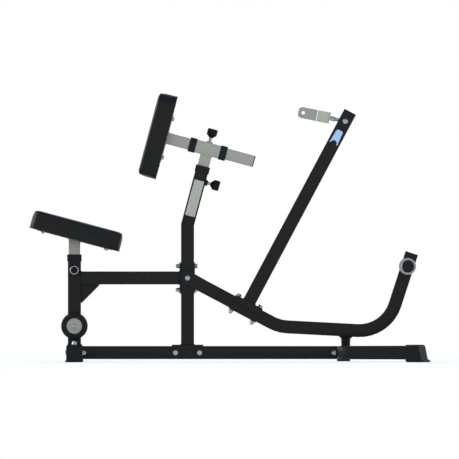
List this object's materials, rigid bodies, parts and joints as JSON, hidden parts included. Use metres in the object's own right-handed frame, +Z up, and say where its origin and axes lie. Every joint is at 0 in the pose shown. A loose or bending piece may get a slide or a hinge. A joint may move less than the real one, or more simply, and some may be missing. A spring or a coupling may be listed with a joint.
{
  "type": "seated row machine",
  "caption": "Plate-loaded seated row machine: steel base, sliding seat and chest pad, and a bent lever arm with weight sleeves, a pull post and a swivel clevis.",
  "frame": {"origin": "on the floor, under the middle of the machine's bounding box", "axes": "+X along the base beam from the seat to the weights, +Y across the machine, +Z up"},
  "size_m": [1.5546, 0.609, 1.0465],
  "materials": {
    "frame_paint": "satin black",
    "grey_paint": "satin warm grey",
    "plastic": "moulded black",
    "rubber": "matt black",
    "tyre": "matt black",
    "grey_plastic": "warm grey",
    "grey_block": "warm grey",
    "steel": "zinc plated",
    "chrome": "polished",
    "board": "plain plywood",
    "vinyl": "fine grain black"
  },
  "bodies": {
    "frame": {"base_beam": "frame_paint", "front_cross_tube": "frame_paint", "front_cap_near": "plastic", "front_cap_far": "plastic", "rear_stabiliser": "frame_paint", "rear_cap_near": "plastic", "rear_cap_far": "plastic", "stabiliser_stop": "frame_paint", "stabiliser_pad": "rubber", "seat_frame": "frame_paint", "chest_upright": "frame_paint", "seat_bushing": "plastic", "upright_bushing": "plastic", "backing_plate": "frame_paint", "foot_bolt_near": "steel", "foot_bolt_far": "steel", "front_bolt_near": "steel", "front_bolt_far": "steel", "saddle_bolt_left": "steel", "saddle_bolt_right": "steel", "seat_beam_bolt_upper": "steel", "seat_beam_bolt_lower": "steel", "rear_bolt_near": "steel", "rear_bolt_far": "steel", "pivot_bush": "steel", "wheel_axle": "steel"},
    "wheel_near": {"wheel_tyre_near": "tyre", "wheel_hub_near": "grey_plastic"},
    "wheel_far": {"wheel_tyre_far": "tyre", "wheel_hub_far": "grey_plastic"},
    "lever": {"lever_arm": "frame_paint", "pivot_bolt": "steel", "lever_post": "frame_paint", "clamp_plate": "frame_paint", "clamp_bolt_upper": "steel", "clamp_bolt_lower": "steel", "post_cap": "plastic", "arm_cap": "plastic", "weight_sleeve_near": "chrome", "weight_sleeve_far": "chrome", "sleeve_cap_near": "plastic", "sleeve_cap_far": "plastic", "bumper": "rubber", "handle_pin": "steel"},
    "handle": {"eye_rod": "steel", "swivel_block": "grey_block"},
    "clevis": {"swivel_clevis": "steel"},
    "seat": {"seat_post": "grey_paint", "seat_board": "board", "seat_cushion": "vinyl"},
    "riser": {"chest_riser": "grey_paint", "sleeve_bushing_front": "plastic", "sleeve_bushing_rear": "plastic"},
    "chest_pad": {"slide_tube": "grey_paint", "slide_cap": "plastic", "chest_board": "board", "chest_cushion": "vinyl"},
    "seat_pull_pin": {"seat_pin": "steel"},
    "riser_pull_pin": {"riser_pin": "steel"},
    "slide_pull_pin": {"slide_pin": "steel"}
  },
  "joints": [
    {"name": "lever_lift", "type": "hinge", "parent": "frame", "child": "lever", "pos_m": [-0.16439, 0, 0.3264], "axis": [0, -1, 0], "range_deg": [0, 18]},
    {"name": "handle_tilt", "type": "hinge", "parent": "lever", "child": "handle", "pos_m": [0.44894, 0, 0.93568], "axis": [0, 1, 0], "range_deg": [0, 35]},
    {"name": "clevis_swivel", "type": "hinge", "parent": "handle", "child": "clevis", "pos_m": [0.44894, 0, 0.93568], "axis": [-0.9799, 0, 0.1994], "continuous": true},
    {"name": "seat_height", "type": "slide", "parent": "frame", "child": "seat", "axis": [0, 0, 1], "range_m": [-0.04, 0.1]},
    {"name": "riser_height", "type": "slide", "parent": "frame", "child": "riser", "axis": [0.2588, 0, 0.9659], "range_m": [-0.02, 0.1]},
    {"name": "chest_reach", "type": "slide", "parent": "riser", "child": "chest_pad", "axis": [-0.9659, 0, 0.2588], "range_m": [-0.025, 0.1]},
    {"name": "seat_pin_pull", "type": "slide", "parent": "frame", "child": "seat_pull_pin", "axis": [0, -1, 0], "range_m": [0, 0.012], "stiffness_N_per_m": 600, "springref_m": -0.01},
    {"name": "riser_pin_pull", "type": "slide", "parent": "frame", "child": "riser_pull_pin", "axis": [0.9659, 0, -0.2588], "range_m": [0, 0.012], "stiffness_N_per_m": 600, "springref_m": -0.01},
    {"name": "slide_pin_pull", "type": "slide", "parent": "riser", "child": "slide_pull_pin", "axis": [0.2588, 0, 0.9659], "range_m": [0, 0.012], "stiffness_N_per_m": 600, "springref_m": -0.01},
    {"name": "wheel_near_spin", "type": "hinge", "parent": "frame", "child": "wheel_near", "pos_m": [-0.60444, 0, 0.1395], "axis": [0, 1, 0], "continuous": true},
    {"name": "wheel_far_spin", "type": "hinge", "parent": "frame", "child": "wheel_far", "pos_m": [-0.60444, 0, 0.1395], "axis": [0, 1, 0], "continuous": true}
  ]
}
